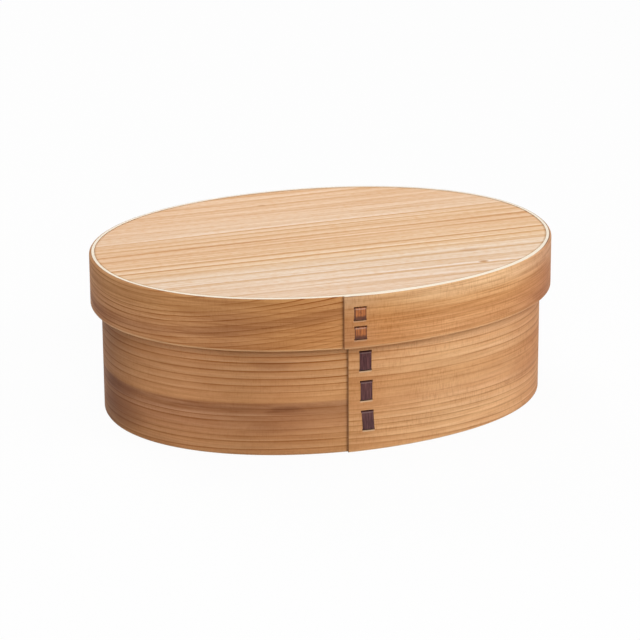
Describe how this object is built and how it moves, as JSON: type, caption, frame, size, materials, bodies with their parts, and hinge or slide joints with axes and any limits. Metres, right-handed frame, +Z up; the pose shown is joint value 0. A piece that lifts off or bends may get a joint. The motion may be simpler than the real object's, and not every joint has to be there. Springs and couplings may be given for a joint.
{
  "type": "bento box",
  "caption": "Oval lunch box of bent cedar with a slip-over cover lid, bark-sewn lap seams, let-in boards and a loose divider.",
  "frame": {"origin": "centre of the oval, on the plane of the body strip's lower edge that the box stands on", "axes": "+X along the length of the oval, -Y towards the sewn front seams, +Z up"},
  "size_m": [0.18, 0.1365, 0.0624],
  "materials": {
    "strip_cedar": "bent cedar, straight grain, clear satin coat",
    "board_cedar": "quarter-sawn cedar board, clear satin coat",
    "dark_bark": "polished cherry bark, dark",
    "light_bark": "scraped cherry bark, orange brown"
  },
  "bodies": {
    "box_body": {"body_strip": "strip_cedar", "bottom_board": "board_cedar", "body_bark": "dark_bark"},
    "lid": {"lid_strip": "strip_cedar", "lid_board": "board_cedar", "lid_bark": "light_bark"},
    "divider": {"divider": "board_cedar"}
  },
  "joints": [
    {"name": "lid_lift", "type": "slide", "parent": "box_body", "child": "lid", "axis": [0, 0, 1], "range_m": [0, 0.1]},
    {"name": "divider_slide", "type": "slide", "parent": "box_body", "child": "divider", "axis": [1, 0, 0], "range_m": [-0.041, 0]}
  ]
}
